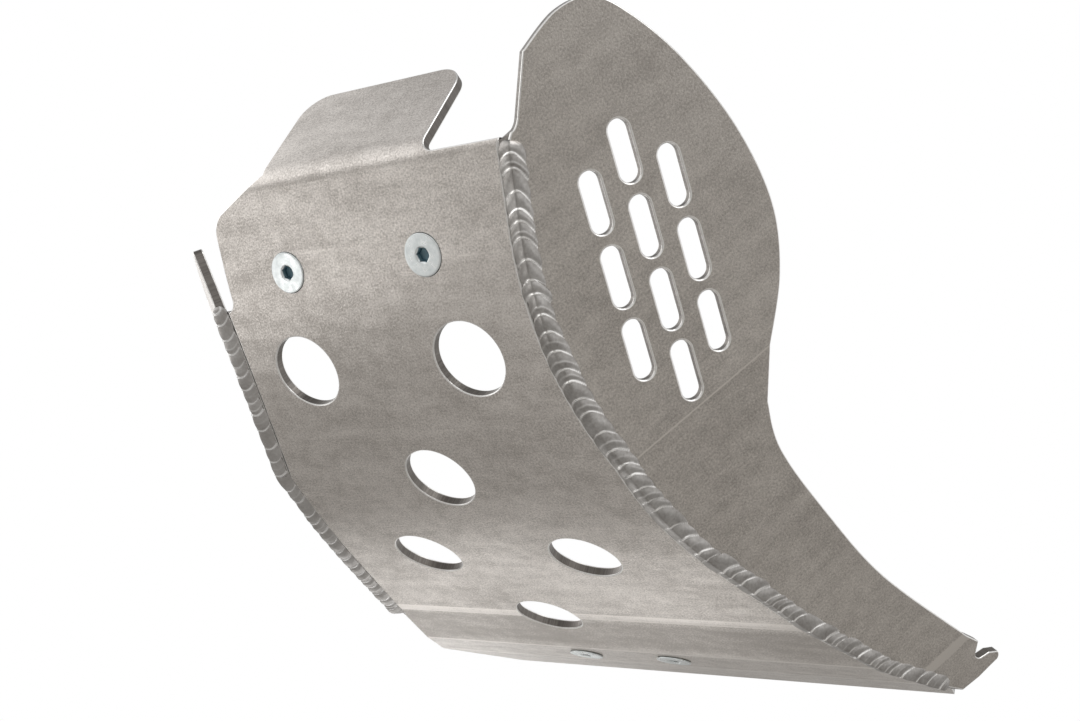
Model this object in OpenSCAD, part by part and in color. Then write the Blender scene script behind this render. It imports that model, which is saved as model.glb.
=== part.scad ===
// Off-road motorcycle skid plate: a folded centre plate, two welded side wings
// and four countersunk screws. Millimetres, +Z up, -Y is its front and +X is
// its left-hand side. The origin is on the underside, in the middle of the flat
// bottom, midway between the screws.

/* [Sheet] */
// Thickness of the aluminium sheet
sheet_t = 4; // [3:0.5:6]
// Lead on the rims of holes and slots
rim = 0.6; // [0.2:0.1:1]

/* [Centre plate section] */
// Lean of the front flat from upright, in degrees
front_lean = 31; // [20:1:40]
// How far the tongue is folded back from the front flat, in degrees
tongue_fold = 56; // [30:1:70]
// Outside radius of the tongue fold
tongue_fold_r = 10; // [6:1:16]
// Flat length of the tongue above its fold
tongue_len = 40; // [20:1:60]
// Distance of the front screws' row below the start of the rolled zone
screw_row_down = 5.4; // [2:0.1:20]
// Length of the front flat between tongue fold and rolled zone
front_flat = 26.7; // [16:0.1:50]
// Radius of the rolled zone
roll_r = 219; // [150:1:400]
// Angle turned by the rolled zone, in degrees
roll_turn = 41.2; // [20:0.1:50]
// Flat below the rolled zone
lower_flat = 49.4; // [30:0.1:80]
// Turn of the first press-brake fold, in degrees
fold_1 = 3.9; // [1:0.1:12]
// Flat between the first and second folds
mid_flat = 40.4; // [20:0.1:60]
// Turn of the second fold, in degrees
fold_2 = 8.7; // [1:0.1:15]
// Flat that carries the lower screws
screw_flat = 27.1; // [22:0.1:40]
// Flat bottom behind the third fold
bottom_flat = 50; // [30:1:120]
// Outside radius of the three small folds
fold_r = 25; // [8:1:40]

/* [Centre plate outline] */
// Width of the tongue
tongue_w = 78; // [50:1:100]
// Offset of the tongue to the left
tongue_off = 2.5; // [-10:0.5:10]
// Radius on the tongue's free corners
tongue_corner_r = 12; // [4:1:20]
// Half width of the plate beside the front screws, right side
right_edge = 67; // [60:1:76]
// A point on the left rear corner cut: half width, distance before the rear edge
left_rear = [141, 30];
// Half width at the rear edge, left side
left_rear_end = 132; // [120:1:138]
// A point on the right rear corner cut
right_rear = [121, 34];
// Half width at the rear edge, right side
right_rear_end = 108; // [90:1:118]

/* [Lightening holes] */
// Diameter of the six large holes
hole_d = 30; // [20:1:36]
// Hole places: distance below the front screws' row, then distance to the left
holes = [[40.5, -40], [40.5, 40], [94.3, 0], [146, -39], [146, 41], [204, -11]];

/* [Screws] */
// Thread size of the countersunk screws
screw_d = 8; // [6:1:10]
// Head diameter
head_d = 16; // [12:0.5:18]
// Cylindrical rim of the head
head_rim = 0.5; // [0.3:0.1:1]
// Width across the flats of the hexagon socket
hex_af = 5; // [4:0.5:6]
// Depth of the hexagon socket
hex_deep = 2.8; // [2:0.1:3.5]
// Length of the front screws over all
front_screw_len = 25; // [16:1:40]
// Length of the lower screws over all
lower_screw_len = 20; // [16:1:40]
// Spacing of the front screws
front_spacing = 66.6; // [50:0.2:90]
// Spacing of the lower screws
lower_spacing = 47.8; // [36:0.2:70]
// Distance of the lower screws below the front row, along the sheet
lower_row = 259.1; // [240:0.1:300]
// Gap all round between a screw and its countersunk hole
seat_gap = 0.15; // [0.05:0.05:0.4]

/* [Left wing] */
// Foot of the wing's bend line on its outer face
left_foot = [90.4, -200, 59.3];
// Turn that lays the flat wing drawing on that face, in degrees
left_turn = [122.5, -46.6, 31.8];
// Angle of the wing's slight bend, in degrees
left_bend = 8.1; // [0:0.1:20]

/* [Right wing] */
// Foot of the right bend line, measured to the right
right_foot = [80.5, -200, 57];
// Turn of the right wing's drawing before it is mirrored, in degrees
right_turn = [133.5, -37.7, 16.9];
// Angle of the right wing's bend, in degrees
right_bend = 11.3; // [0:0.1:20]

/* [Wing tail] */
// Distance of the tail tab's fold below the bend line
tab_line = 173; // [160:1:175]
// Fold of the tail tab, in degrees
tab_fold = 7; // [0:1:30]

/* [Cooling slots] */
// Length of one slot
slot_len = 22.5; // [12:0.5:30]
// Width of one slot
slot_w = 8; // [5:0.5:10]
// Pitch of the slots along a column
slot_pitch = 27; // [24:0.5:34]
// Distance between neighbouring columns
column_pitch = 15; // [12:0.5:20]
// Angle of the columns from the bend line, in degrees
slot_angle = 71; // [60:1:90]
// Middle of the slot group from the foot of the bend line
slot_mid = [46.4, 51.9];

/* [Welds] */
// Width of a bead's leg on each sheet
bead_leg = 4.6; // [3:0.1:6]
// Height of a bead over the corner
bead_h = 2.2; // [1:0.1:4]
// Length of one ripple of the bead
ripple = 5.2; // [3:0.1:8]
// Height step of one ripple
ripple_h = 0.45; // [0.1:0.05:1]
// Start of the left bead above the front screws' row
left_bead_start = 34; // [10:1:40]
// End of the left bead below the front screws' row
left_bead_end = 282; // [200:1:290]
// Start of the right bead below the front screws' row
right_bead_start = 15; // [0:1:40]
// End of the right bead below the front screws' row
right_bead_end = 200; // [150:1:210]

/* [Show] */
// Which sub-part to draw

/* [Hidden] */
$fn = 72;
big = 400;
curve_steps = 24;

// The outer face of the centre plate is a path from the tongue's free edge to
// the rear edge. Each run is a length and the angle that it turns.
fold_3 = 90 - (front_lean + roll_turn + fold_1 + fold_2);
runs = [
  [tongue_len, 0],
  [arc_len(tongue_fold_r, tongue_fold), tongue_fold],
  [front_flat, 0],
  [arc_len(roll_r, roll_turn), roll_turn],
  [lower_flat, 0],
  [arc_len(fold_r, fold_1), fold_1],
  [mid_flat, 0],
  [arc_len(fold_r, fold_2), fold_2],
  [screw_flat, 0],
  [arc_len(fold_r, fold_3), fold_3],
  [bottom_flat, 0]
];
front_start = run_start(2);
front_row = run_start(3) + screw_row_down;
path_len = run_start(len(runs));
origin_y = -raw_place(path_len - bottom_flat / 2)[0];
origin_z = -raw_place(path_len)[1];

function arc_len(r, turn) = r * turn * PI / 180;
function run_start(k) = k == 0 ? 0 : run_start(k - 1) + runs[k - 1][0];
function run_angle(k) = k == 0 ? front_lean - tongue_fold : run_angle(k - 1) + runs[k - 1][1];
function run_at(s, k = 0) = k == len(runs) - 1 || s < run_start(k + 1) ? k : run_at(s, k + 1);
function heading(s) = let (k = run_at(s))
  run_angle(k) + runs[k][1] * (s - run_start(k)) / runs[k][0];
function along(k, d) = let (
    a = run_angle(k),
    b = a + runs[k][1] * d / runs[k][0],
    r = runs[k][1] == 0 ? 0 : runs[k][0] / (runs[k][1] * PI / 180)
  ) runs[k][1] == 0 ? d * [sin(a), -cos(a)] : r * [cos(a) - cos(b), sin(a) - sin(b)];
function run_place(k) = k == 0 ? [0, 0] : run_place(k - 1) + along(k - 1, runs[k - 1][0]);
function raw_place(s) = let (k = run_at(s)) run_place(k) + along(k, s - run_start(k));
function place(s) = raw_place(s) + [origin_y, origin_z];
function inward(s) = [cos(heading(s)), sin(heading(s))];

// Stations along the path: the ends of each run, with steps inside each curve.
function steps(k) = runs[k][1] == 0 ? 1 : max(3, round(curve_steps * runs[k][1] / 41));
stations = [
  for (k = [0 : len(runs) - 1], i = [0 : steps(k) - 1])
    run_start(k) + runs[k][0] * i / steps(k),
  path_len - 0.001
];

// Points of a circular arc from one angle to another.
function arc(c, r, a0, a1, n = 8) = [for (i = [0 : n]) c + r * [cos(a0 + (a1 - a0) * i / n),
  sin(a0 + (a1 - a0) * i / n)]];

// A smooth curve through the given points.
function bend_4(a, b, c, d, t) = 0.5 * (2 * b + (c - a) * t + (2 * a - 5 * b + 4 * c - d) * t * t
  + (3 * b - a - 3 * c + d) * t * t * t);
function smooth(p, n = 4) = [
  for (i = [0 : len(p) - 2], j = [0 : n - 1])
    bend_4(p[max(i - 1, 0)], p[i], p[i + 1], p[min(i + 2, len(p) - 1)], j / n),
  p[len(p) - 1]
];

// Places a child on the outer face, its Z outwards and its Y up the sheet.
module on_face(s, x = 0) {
  p = place(s);
  translate([x, p[0], p[1]])
    rotate([90 + heading(s), 0, 0])
      children();
}

// Places a child on a wing's outer face, its X along the bend line.
module on_wing(foot, turn) {
  translate(foot)
    rotate(turn)
      children();
}

module sheet_section() {
  polygon(concat(
    [for (s = stations) place(s)],
    [for (i = [len(stations) - 1 : -1 : 0]) place(stations[i]) + sheet_t * inward(stations[i])]
  ));
}

// Everything in front of and under the outer face, used to trim the wings.
module front_space() {
  top = place(front_start);
  up = [-sin(front_lean), cos(front_lean)];
  last = place(path_len - 0.001);
  rotate([90, 0, 90])
    linear_extrude(big, center = true)
      polygon(concat(
        [top + big * up],
        [for (s = stations) if (s >= front_start) place(s)],
        [last + [big, 0], last + [big, -big], last + [-2 * big, -big], last + [-2 * big, big]]
      ));
}

// A round hole with a small lead on both rims, cut from the outer face.
module rimmed_hole(d) {
  translate([0, 0, -sheet_t - 2])
    cylinder(d = d, h = sheet_t + 4);
  translate([0, 0, -rim])
    cylinder(d1 = d, d2 = d + 4 * rim, h = 2 * rim);
}

module countersink() {
  g = seat_gap;
  translate([0, 0, -sheet_t - 2])
    cylinder(d = screw_d + 2 * g, h = sheet_t + 4);
  translate([0, 0, -head_rim - (head_d - screw_d) / 2 - g])
    cylinder(d1 = screw_d, d2 = head_d + 2 * g, h = (head_d - screw_d) / 2 + g);
  translate([0, 0, -head_rim - 0.01])
    cylinder(d = head_d + 2 * g, h = head_rim + 2);
}

// The cut-away corner beside the tongue on the right, with a small foot at its
// lower end, drawn from the start of the front flat.
module right_corner_cut() {
  e = right_edge;
  slant = [tongue_off - tongue_w / 2, 38];
  translate([0, -screw_row_down - front_flat, -big / 4])
    linear_extrude(big / 2)
      polygon(concat(
        [[slant[0], big], slant],
        arc([-e + 11, 16.5], 11, 122, 180, 6),
        arc([-e - 5, -8], 5, 0, -90, 5),
        [[-big, -13], [-big, big]]
      ));
}

// The rounded notch between tongue and left wing.
module left_notch_cut() {
  x = tongue_off + tongue_w / 2;
  translate([0, -screw_row_down - front_flat, -big / 4])
    linear_extrude(big / 2)
      polygon(concat(
        [[x, big]],
        arc([x + 5, 40.5], 5, 180, 270, 5),
        [[big, 35.5], [big, big]]
      ));
}

// The slanting cut at a rear corner, drawn from above.
module rear_corner_cut(side, start, finish) {
  back = place(path_len)[0];
  a = [side * start[0], back - start[1]];
  b = [side * finish, back];
  far = a + 3 * (a - b);
  translate([0, 0, -sheet_t])
    linear_extrude(4 * sheet_t)
      polygon([far, b, b + [0, big], [side * big, back + big], [side * big, far[1]]]);
}

module tongue_corner_cut(side) {
  r = tongue_corner_r;
  translate([tongue_off + side * (tongue_w / 2 - r), -r, -big / 2])
    difference() {
      translate([side > 0 ? 0 : -big, 0, 0])
        cube([big, big, big]);
      translate([0, 0, -1])
        cylinder(r = r, h = big + 2);
    }
}

// The half spaces outside the inner faces of one wing.
module outside_wing(foot, turn, bend) {
  on_wing(foot, turn)
    for (a = [0, bend])
      rotate([a, 0, 0])
        translate([-big, -big, -sheet_t])
          cube([2 * big, 2 * big, big]);
}

module centre_plate() {
  color("#b9b6ae")
    difference() {
      rotate([90, 0, 90])
        linear_extrude(2 * big, center = true)
          sheet_section();
      outside_wing(left_foot, left_turn, left_bend);
      mirror([1, 0, 0])
        outside_wing(right_foot, right_turn, right_bend);
      on_face(front_start) {
        right_corner_cut();
        left_notch_cut();
      }
      on_face(0)
        for (side = [-1, 1])
          tongue_corner_cut(side);
      rear_corner_cut(1, left_rear, left_rear_end);
      rear_corner_cut(-1, right_rear, right_rear_end);
      for (h = holes)
        on_face(front_row + h[0], h[1])
          rimmed_hole(hole_d);
      for (side = [-0.5, 0.5]) {
        on_face(front_row, side * front_spacing)
          countersink();
        on_face(front_row + lower_row, side * lower_spacing)
          countersink();
      }
    }
}

// A slot with round ends and a small lead on its outer rim.
module slot_cut() {
  straight = slot_len - slot_w;
  rotate([90, 0, 90])
    translate([0, 0, -straight / 2])
      linear_extrude(straight)
        polygon([
          [-slot_w / 2, -sheet_t - 2], [slot_w / 2, -sheet_t - 2], [slot_w / 2, -rim],
          [slot_w / 2 + 2 * rim, rim], [-slot_w / 2 - 2 * rim, rim], [-slot_w / 2, -rim]
        ]);
  for (side = [-0.5, 0.5])
    translate([side * straight, 0, 0])
      rimmed_hole(slot_w);
}

// Ten slots in columns of three, four and three, staggered by half a pitch.
module slot_group() {
  translate([slot_mid[0], slot_mid[1], 0])
    rotate([0, 0, slot_angle])
      for (column = [-1, 0, 1], i = [0 : column == 0 ? 3 : 2])
        translate([(i - (column == 0 ? 1.5 : 1)) * slot_pitch, column * column_pitch, 0])
          slot_cut();
}

// One wing: the upper sheet, the lower sheet behind the bend line, the tail
// tab, all trimmed where they meet the outer face of the centre plate.
module wing(foot, turn, bend, upper, lower, tab = []) {
  difference() {
    on_wing(foot, turn)
      difference() {
        union() {
          translate([0, 0, -sheet_t])
            linear_extrude(sheet_t)
              polygon(upper);
          rotate([bend, 0, 0]) {
            translate([0, 0, -sheet_t])
              linear_extrude(sheet_t)
                polygon(lower);
            if (len(tab) > 0)
              translate([0, -tab_line, 0])
                rotate([tab_fold, 0, 0])
                  translate([0, 0, -sheet_t])
                    linear_extrude(sheet_t)
                      polygon(tab);
          }
        }
        children();
      }
    front_space();
  }
}

// Wing drawings, measured along and across the bend line from its foot.
left_upper = concat(
  [[-30, 0], [-30, 70], [10, 118]],
  arc([29.5, 127], 8, -70, -42, 4),
  smooth([[50, 138], [67, 142], [80, 138.5], [88, 126], [95, 103], [98, 72], [94, 42],
    [82, 19], [64, 0]])
);
left_lower = concat(
  [[64, 0]],
  smooth([[52, -18], [46.6, -38], [48.5, -74], [54.5, -118], [71.5, -tab_line]]),
  [[-30, -tab_line], [-30, 0]]
);
tail_tab = concat(
  [[-10, 0], [-10, -30], [48, -23], [58, -25.5], [68, -26.5], [75, -26]],
  arc([78, -23], 3, -70, 20, 4),
  [[77, -18.5]],
  arc([74.5, -14.5], 3.5, 240, 130, 5),
  [[75, -8], [71.5, 0]]
);
right_upper = concat(
  [[-30, 0], [-30, 60], [8, 68]],
  arc([28, 92.5], 3, 146, 47, 4),
  smooth([[58, 68.5], [71, 54], [77, 40], [74, 20], [60, 0]])
);
right_lower = concat(
  [[60, 0]],
  smooth([[51, -18], [46, -38], [44, -62], [41, -88], [33, -108], [20, -119], [-30, -124]]),
  [[-30, 0]]
);

module left_wing() {
  color("#b4b1a9")
    wing(left_foot, left_turn, left_bend, left_upper, left_lower, tail_tab)
      slot_group();
}

module right_wing() {
  color("#b4b1a9")
    mirror([1, 0, 0])
      wing(right_foot, right_turn, right_bend, right_upper, right_lower);
}

// Direction of a wing's outer normal, and the seam where that face meets the
// centre plate's outer face.
function turned(t, v) = let (
    x = [v[0], v[1] * cos(t[0]) - v[2] * sin(t[0]), v[1] * sin(t[0]) + v[2] * cos(t[0])],
    y = [x[0] * cos(t[1]) + x[2] * sin(t[1]), x[1], x[2] * cos(t[1]) - x[0] * sin(t[1])]
  ) [y[0] * cos(t[2]) - y[1] * sin(t[2]), y[0] * sin(t[2]) + y[1] * cos(t[2]), y[2]];
function seam_x(s, foot, n) = foot[0]
  - (n[1] * (place(s)[0] - foot[1]) + n[2] * (place(s)[1] - foot[2])) / n[0];

// One cross-section of a bead: the corner of the seam, then an arch from the
// centre plate's face over to the wing's face.
arch = 6;
function bead_ring(s, foot, up, low, phase) = let (
    on_up = seam_x(s, foot, up) < seam_x(s, foot, low),
    n = on_up ? up : low,
    q = [seam_x(s, foot, n), place(s)[0], place(s)[1]],
    tangent = [0, sin(heading(s)), -cos(heading(s))],
    t0 = cross(n, cross(tangent, n)),
    t = t0 / norm(t0),
    face = [0, -cos(heading(s)), -sin(heading(s))],
    u = [-1, 0, 0],
    v0 = cross(t, n),
    v = (v0 * u < 0 ? 1 : -1) * v0 / norm(v0),
    out0 = face + n,
    out = out0 / norm(out0),
    h = bead_h + ripple_h * phase
  ) concat([q], [
    for (i = [0 : arch]) let (f = i / arch)
      q + (f < 0.5 ? u * bead_leg * (1 - 2 * f) : v * bead_leg * (2 * f - 1))
        + out * h * sin(180 * f) + t * 1.6 * sin(180 * f)
  ]);

// A welded bead swept along a seam. Each ripple rises slowly and drops fast.
module bead(foot, turn, bend, s0, s1) {
  up = turned(turn, [0, 0, 1]);
  low = turned(turn, [0, -sin(bend), cos(bend)]);
  count = round((s1 - s0) / ripple);
  size = arch + 2;
  phases = [[0, 0], [0.45, 0.8], [0.85, 1]];
  rings = [
    for (i = [0 : count - 1], p = phases)
      bead_ring(s0 + (s1 - s0) * (i + p[0]) / count, foot, up, low, p[1]),
    bead_ring(s1, foot, up, low, 0)
  ];
  last = len(rings) - 1;
  polyhedron(
    points = [for (r = rings, p = r) p],
    faces = concat(
      [[for (j = [0 : size - 1]) j]],
      [for (i = [0 : last - 1], j = [0 : size - 1]) let (k = (j + 1) % size)
        [i * size + j, (i + 1) * size + j, (i + 1) * size + k, i * size + k]],
      [[for (j = [size - 1 : -1 : 0]) last * size + j]]
    ),
    convexity = 6
  );
}

module left_weld_bead() {
  color("#a8a59d")
    bead(left_foot, left_turn, left_bend, front_row - left_bead_start,
      front_row + left_bead_end);
}

module right_weld_bead() {
  color("#a8a59d")
    mirror([1, 0, 0])
      bead(right_foot, right_turn, right_bend, front_row + right_bead_start,
        front_row + right_bead_end);
}

// A countersunk screw with a hexagon socket, its head's face at Z = 0.
module countersunk_screw(length) {
  cone = (head_d - screw_d) / 2;
  difference() {
    union() {
      translate([0, 0, -head_rim])
        cylinder(d = head_d, h = head_rim);
      translate([0, 0, -head_rim - cone])
        cylinder(d1 = screw_d, d2 = head_d, h = cone);
      translate([0, 0, 1 - length])
        cylinder(d = screw_d, h = length - 1 - head_rim - cone);
      translate([0, 0, -length])
        cylinder(d1 = screw_d - 2, d2 = screw_d, h = 1);
    }
    translate([0, 0, -hex_deep])
      cylinder(d = hex_af / cos(30), h = hex_deep + 1, $fn = 6);
  }
}

module screw_pair(s, spacing, length) {
  color("#cdd3d2")
    for (side = [-0.5, 0.5])
      on_face(s, side * spacing)
        countersunk_screw(length);
}

module front_screws() {
  screw_pair(front_row, front_spacing, front_screw_len);
}

module lower_screws() {
  screw_pair(front_row + lower_row, lower_spacing, lower_screw_len);
}

centre_plate();
left_wing();
right_wing();
left_weld_bead();
right_weld_bead();
front_screws();
lower_screws();
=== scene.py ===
import math

import bmesh
import bpy
import numpy as np
from mathutils import Matrix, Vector
from mathutils.geometry import delaunay_2d_cdt


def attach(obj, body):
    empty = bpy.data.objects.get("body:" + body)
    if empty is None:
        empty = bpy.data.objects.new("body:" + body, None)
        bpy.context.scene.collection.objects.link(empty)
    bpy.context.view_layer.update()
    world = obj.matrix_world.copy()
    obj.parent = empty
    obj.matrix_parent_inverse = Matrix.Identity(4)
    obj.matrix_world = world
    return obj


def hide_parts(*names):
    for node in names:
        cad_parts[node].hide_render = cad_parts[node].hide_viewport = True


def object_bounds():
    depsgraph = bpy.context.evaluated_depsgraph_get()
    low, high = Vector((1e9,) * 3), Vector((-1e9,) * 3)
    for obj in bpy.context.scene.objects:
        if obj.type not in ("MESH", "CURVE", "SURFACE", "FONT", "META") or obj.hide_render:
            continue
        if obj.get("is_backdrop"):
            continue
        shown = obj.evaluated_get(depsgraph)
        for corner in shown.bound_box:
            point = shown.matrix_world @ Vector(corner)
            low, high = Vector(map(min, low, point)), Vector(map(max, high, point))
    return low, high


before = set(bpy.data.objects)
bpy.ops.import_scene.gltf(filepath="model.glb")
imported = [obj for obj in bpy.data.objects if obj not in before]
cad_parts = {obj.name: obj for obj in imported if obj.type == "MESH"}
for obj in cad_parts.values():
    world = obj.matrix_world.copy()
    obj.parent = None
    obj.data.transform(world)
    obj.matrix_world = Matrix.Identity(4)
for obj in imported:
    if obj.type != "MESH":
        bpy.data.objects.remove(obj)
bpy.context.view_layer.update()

# ---------------------------------------------------------------------------
# Centre plate. One blank of 4 mm aluminium sheet, laser cut, rolled over its upper half and pressed into
# three slight folds below. The cutting and a quick pass with a file leave a small rounded lead on every rim,
# painted bright as a highlight. Millimetres here.

SHEET = 4.0
# Spacing of the points that a flat face is divided by.
GRID = 3.5
# Section of the plate from the tongue's free edge down: lengths on the outer face, and degrees.
FRONT_LEAN = 31.0
TONGUE = dict(length=40.0, width=78.0, offset=2.5, fold=56.0, radius=10.0, corner=12.0)
ROLL = dict(radius=219.0, turn=41.2)
SMALL_FOLD_RADIUS = 25.0
FOLDS = (3.9, 8.7, 90 - FRONT_LEAN - ROLL["turn"] - 3.9 - 8.7)
ROW_DOWN = 5.4
FRONT_FLAT = 26.7
LOWER_FLATS = (49.4, 40.4, 27.1, 50)
# Cuts beside the tongue, with heights above the front screws' row, and the rear
# corners: how wide, how far in front of the rear edge, and how wide at that edge.
NOTCH = dict(up=40.5, radius=5)
LEFT_TOP_UP = 35.5
RIGHT_SLIT = dict(centre=(-72, -8), radius=5, up=-12.0)
RIGHT_SHOULDER = dict(centre=(-56, 16.5), radius=11, end=122, top=38)
REAR_LEFT, REAR_RIGHT = (141, 30, 132), (121, 34, 108)
# Openings: distance down the sheet from the front screws' row, then distance to the left.
HOLES = ((40.5, -40), (40.5, 40), (94.3, 0), (146, -39), (146, 41), (204, -11))
HOLE_RADIUS = 15.0
SEAT_RADIUS, BORE_RADIUS, HEAD_RIM = 8.15, 4.15, 0.5
FRONT_SCREWS = dict(row=0.0, spacing=66.6, proud=0.4)
LOWER_SCREWS = dict(row=259.1, spacing=47.8, proud=1.0)
LEFT_WING = dict(foot=(90.4, -200, 59.3), turn=(122.5, -46.6, 31.8), folds=((0, 8.1), (173, 7)))
RIGHT_WING = dict(foot=(95.9, -200, 66.9), turn=(140, -48.45, 5.6), folds=((0, 14.1),))
RIGHT_WING_END, RIGHT_STEP = 212.0, 0.8


def curve(radius, turn):
    """One bend of the sheet: its length is radius times angle, and it turns by that angle."""
    return (radius * math.radians(turn), turn)


PLATE_RUNS = (
    (TONGUE["length"], 0), curve(TONGUE["radius"], TONGUE["fold"]), (FRONT_FLAT, 0),
    curve(ROLL["radius"], ROLL["turn"]), (LOWER_FLATS[0], 0),
    curve(SMALL_FOLD_RADIUS, FOLDS[0]), (LOWER_FLATS[1], 0),
    curve(SMALL_FOLD_RADIUS, FOLDS[1]), (LOWER_FLATS[2], 0),
    curve(SMALL_FOLD_RADIUS, FOLDS[2]), (LOWER_FLATS[3], 0))


def folded(along, runs, lean):
    """A folded section. A flat run of length d moves by d(sin a, -cos a) at its lean a; a bend of
    radius r moves by r(cos a - cos b, sin a - sin b) from lean a to lean b. Gives y, z and lean."""
    length, turn = np.array(runs, float).T
    turn = np.radians(turn)
    start = np.concatenate([[0], np.cumsum(length)[:-1]])
    first = math.radians(lean) + np.concatenate([[0], np.cumsum(turn)[:-1]])

    def run(k, d):
        a, b = first[k], first[k] + turn[k] * d / length[k]
        flat = turn[k] == 0
        r = length[k] / np.where(flat, 1, turn[k])
        return (np.where(flat, d * np.sin(a), r * (np.cos(a) - np.cos(b))),
                np.where(flat, -d * np.cos(a), r * (np.sin(a) - np.sin(b))), b)

    ends = run(np.arange(len(length)), length)
    y0, z0 = (np.concatenate([[0], np.cumsum(e)[:-1]]) for e in ends[:2])
    along = np.asarray(along, float)
    k = np.clip(np.searchsorted(start, along, side="right") - 1, 0, len(length) - 1)
    y, z, b = run(k, along - start[k])
    return y0[k] + y, z0[k] + z, b


PLATE_END = sum(r[0] for r in PLATE_RUNS)
FRONT_START = PLATE_RUNS[0][0] + PLATE_RUNS[1][0]
FRONT_ROW = FRONT_START + FRONT_FLAT + ROW_DOWN
TONGUE_LEAN = FRONT_LEAN - TONGUE["fold"]
bottom_y, bottom_z, _ = folded([PLATE_END - LOWER_FLATS[3] / 2, PLATE_END], PLATE_RUNS, TONGUE_LEAN)
PLATE_ORIGIN = (-bottom_y[0], -bottom_z[1])


def plate_section(along, depth=0.0):
    """Point of the plate's section at a distance along it and a depth behind its outer face."""
    y, z, lean = folded(along, PLATE_RUNS, TONGUE_LEAN)
    return y + PLATE_ORIGIN[0] + depth * np.cos(lean), z + PLATE_ORIGIN[1] + depth * np.sin(lean), lean


def plate_place(across, along, depth):
    """Plate surface: x is the distance across, y and z come from the folded section. Also gives
    the outward normal (0, -cos lean, -sin lean) and the direction down the sheet."""
    y, z, lean = plate_section(along, depth)
    zero = np.zeros_like(lean)
    return (np.stack([across + zero, y, z], -1), np.stack([zero, -np.cos(lean), -np.sin(lean)], -1),
            np.stack([1 + zero, zero, zero], -1), np.stack([zero, np.sin(lean), -np.cos(lean)], -1))


def wing_turn(turn):
    """Turns about X, then Y, then Z, as one matrix."""
    x, y, z = (math.radians(t) for t in turn)
    return np.array(Matrix.Rotation(z, 3, "Z") @ Matrix.Rotation(y, 3, "Y") @ Matrix.Rotation(x, 3, "X"))


def wing_seam(along, wing, depth=0.0, plate_depth=0.0):
    """Where a wing's sheet, at a depth behind its outer face, meets the plate's section: each of
    its panels is a plane, and the nearest to the middle counts. Gives x, and the place u, v in
    the wing's flat drawing, whose v is unrolled panel by panel."""
    turn, foot = wing_turn(wing["turn"]), np.array(wing["foot"], float)
    y, z, _ = plate_section(along, plate_depth)
    origin, lean, last = np.zeros(2), 0.0, 0.0
    panels = [(origin, lean, last)]
    for line, fold in wing["folds"]:
        origin = origin - (line - last) * np.array([math.cos(lean), math.sin(lean)])
        lean, last = lean + math.radians(fold), line
        panels.append((origin, lean, last))
    found = None
    for origin, lean, line in panels:
        n = turn @ np.array([0, -math.sin(lean), math.cos(lean)])
        base = foot + turn @ np.array([0, *origin])
        x = base[0] + (-depth - n[1] * (y - base[1]) - n[2] * (z - base[2])) / n[0]
        flat = (np.stack([x, y, z], -1) - foot) @ turn
        v = (flat[:, 1] - origin[0]) * math.cos(lean) + (flat[:, 2] - origin[1]) * math.sin(lean) - line
        new = np.stack([x, flat[:, 0], v])
        found = new if found is None else np.where(x < found[0], new, found)
    return found


def rounded(centre, radius, a0, a1, n):
    """Points on a circular arc, centre + radius(cos a, sin a), from a0 to a1 in degrees."""
    a = np.radians(np.linspace(a0, a1, n))
    return np.stack([centre[0] + radius * np.cos(a), centre[1] + radius * np.sin(a)], -1)


def filled(points, step=1.3):
    """Straight pieces longer than a step are divided evenly."""
    points = np.asarray(points, float)
    gaps = np.linalg.norm(np.diff(points, axis=0), axis=1)
    many = np.maximum(1, np.ceil(gaps / step).astype(int))
    whole = np.concatenate([[0], np.cumsum(many)])
    at = np.arange(whole[-1] + 1)
    return np.stack([np.interp(at, whole, points[:, i]) for i in range(2)], -1)


def between(a, b, n):
    """A number of points evenly between two others, without those two."""
    return np.linspace(a, b, n + 2)[1:-1]


def below_tongue(up):
    """Distance along the sheet of a cut made square to the front flat, at a height above the
    front screws' row: on the tongue, its fold, the front flat or the roll."""
    h = np.asarray(up, float) - ROW_DOWN - FRONT_FLAT
    r, fold, big = TONGUE["radius"], math.radians(TONGUE["fold"]), ROLL["radius"]
    on_fold = FRONT_START - r * np.arcsin(np.clip(h / r, -1, 1))
    on_tongue = FRONT_START - r * fold - (h - r * math.sin(fold)) / math.cos(fold)
    on_roll = FRONT_START + FRONT_FLAT + big * np.arcsin(np.clip((-h - FRONT_FLAT) / big, 0, 1))
    return np.where(h > r * math.sin(fold), on_tongue, np.where(h > 0, on_fold,
                    np.where(h > -FRONT_FLAT, FRONT_START - h, on_roll)))


def side_edge(start, wing, corner, depth, step=0.0):
    """One side edge down to the rear: the wing's inner face, or the slanting rear cut where that
    is nearer to the middle. Behind the right wing's end it stands out by a step."""
    widest, ahead, at_rear = corner
    beside, behind = 190, 90
    ends = FRONT_ROW + RIGHT_WING_END - 0.25 * depth
    along = np.concatenate([np.linspace(start, ends, beside),
                            np.linspace(ends, PLATE_END, behind)[step == 0:]])
    inset = np.where(np.arange(len(along)) < beside, SHEET, SHEET - step)
    seam = wing_seam(along, wing, depth=inset, plate_depth=depth)[0]
    back = plate_section(np.array([PLATE_END]))[0] - plate_section(along)[0]
    cut = at_rear + (widest - at_rear) * back / ahead
    return np.stack([np.minimum(seam, cut), along], -1)


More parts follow.
